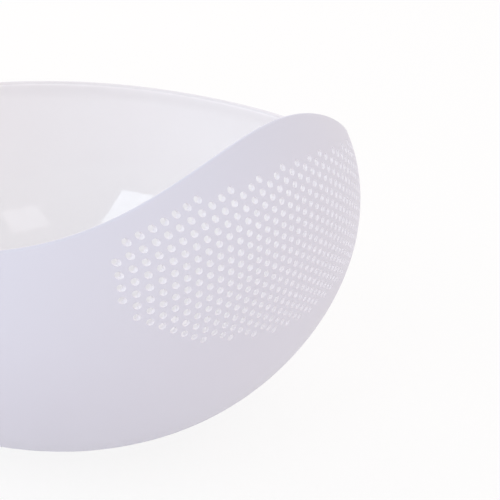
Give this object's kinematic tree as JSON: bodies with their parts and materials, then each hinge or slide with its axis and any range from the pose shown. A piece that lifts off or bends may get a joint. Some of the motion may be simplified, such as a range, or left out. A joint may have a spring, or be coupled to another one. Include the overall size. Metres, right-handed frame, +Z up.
{
  "type": "rice colander",
  "caption": "Round plastic bowl for washing rice, with a rounded lip raised on one side and a staggered field of small drain holes through it.",
  "frame": {"origin": "on the standing face, under the middle of the overall length and width; the bowl's axis is 2.3 mm ahead of it", "axes": "+Z up along the bowl's axis, +X from the axis out through the middle of the drainer lip"},
  "size_m": [0.2315, 0.236, 0.1442],
  "materials": {
    "bowl": "satin outside, polished inside",
    "rim": "polished, rounded edge",
    "drainer": "satin outside, polished inside"
  },
  "bodies": {
    "root": {"foot_ring": "bowl", "bowl_floor": "bowl", "bowl_wall": "bowl", "rim_band": "rim", "drainer_left": "drainer", "drainer_middle": "drainer", "drainer_right": "drainer"}
  },
  "joints": []
}
